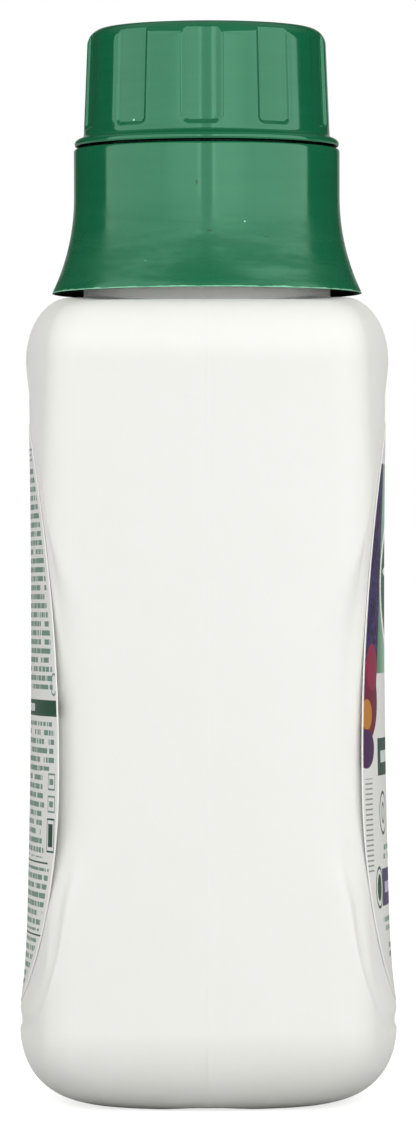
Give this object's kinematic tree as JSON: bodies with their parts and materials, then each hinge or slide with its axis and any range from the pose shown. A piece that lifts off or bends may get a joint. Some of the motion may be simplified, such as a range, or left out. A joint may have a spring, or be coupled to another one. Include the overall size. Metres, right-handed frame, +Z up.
{
  "type": "laundry detergent bottle",
  "caption": "Flat oval blown bottle with egg-shaped label panels, a flared collar, a drain-back pour spout and a fluted dosing cap that comes off.",
  "frame": {"origin": "on the floor under the middle of the bottle", "axes": "+Z up along the neck, X across the wide front, front label facing -Y, mould-seam sides facing +X and -X"},
  "size_m": [0.11, 0.09, 0.2555],
  "materials": {
    "bottle_plastic": "blown white polyethylene, satin",
    "spout_plastic": "moulded natural polyethylene, satin",
    "green_plastic": "moulded dark green polypropylene, glossy",
    "front_film": "printed film, glossy",
    "back_film": "printed film, glossy"
  },
  "bodies": {
    "container": {"bottle": "bottle_plastic", "pour_spout": "spout_plastic", "collar": "green_plastic", "front_label": "front_film", "back_label": "back_film"},
    "cap": {"dosing_cap": "green_plastic"}
  },
  "joints": [
    {"name": "cap_lift", "type": "slide", "parent": "container", "child": "cap", "axis": [0, 0, 1], "range_m": [0, 0.04]}
  ]
}
